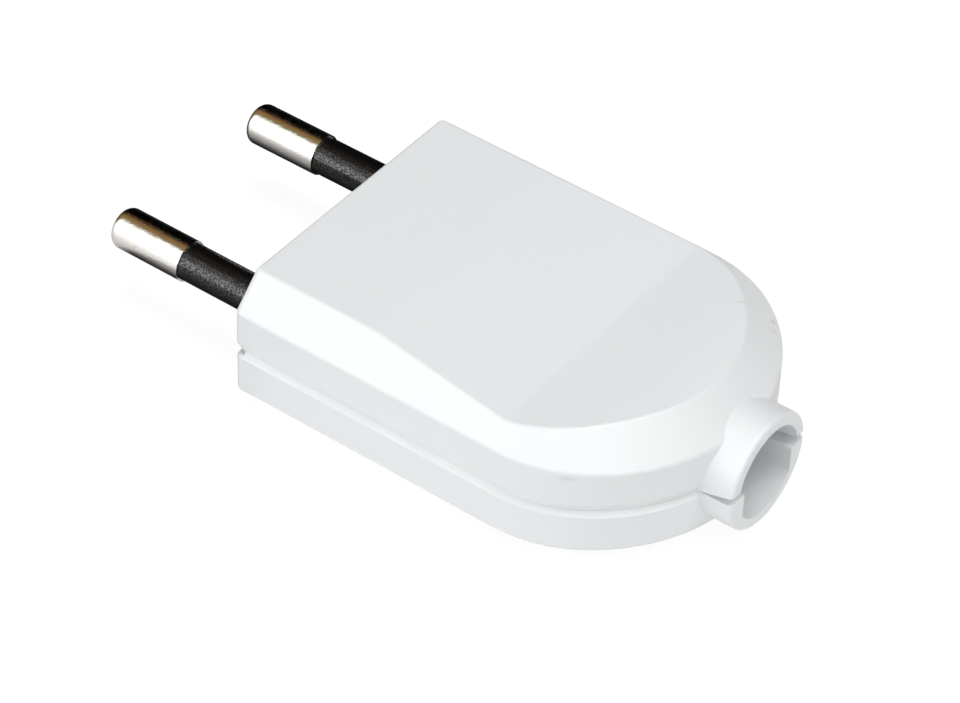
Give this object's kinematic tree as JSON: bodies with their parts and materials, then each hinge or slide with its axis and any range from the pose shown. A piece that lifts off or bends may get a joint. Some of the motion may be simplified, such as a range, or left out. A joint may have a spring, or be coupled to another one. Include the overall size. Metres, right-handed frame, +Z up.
{
  "type": "flat two-pin mains plug",
  "caption": "Rewirable flat plug with round part-sleeved pins, a split moulded body, a grip hollow and a cord collar at the rear.",
  "frame": {"origin": "centre of the front (socket side) face, midway between the two pins, on the plane where the shells part", "axes": "+X across the pins, +Y towards the cord entry (the pins point to -Y), +Z up from the lower shell to the upper shell"},
  "size_m": [0.0324, 0.0636, 0.0148],
  "materials": {
    "shell_white": "semi-gloss moulded",
    "pin_nickel": "nickel plated, polished",
    "sleeve_black": "fine grained",
    "screw_steel": "zinc plated",
    "clamp_plastic": "moulded"
  },
  "bodies": {
    "root": {"upper_shell": "shell_white", "lower_shell": "shell_white", "pin_left": "pin_nickel", "pin_right": "pin_nickel", "pin_sleeve_left": "sleeve_black", "pin_sleeve_right": "sleeve_black", "terminal_screw_left": "screw_steel", "terminal_screw_right": "screw_steel", "clamp_screw_left": "screw_steel", "clamp_screw_right": "screw_steel", "cord_clamp_bar": "clamp_plastic", "housing_screw_front": "screw_steel", "housing_screw_rear": "screw_steel", "housing_nut_front": "screw_steel", "housing_nut_rear": "screw_steel"}
  },
  "joints": []
}
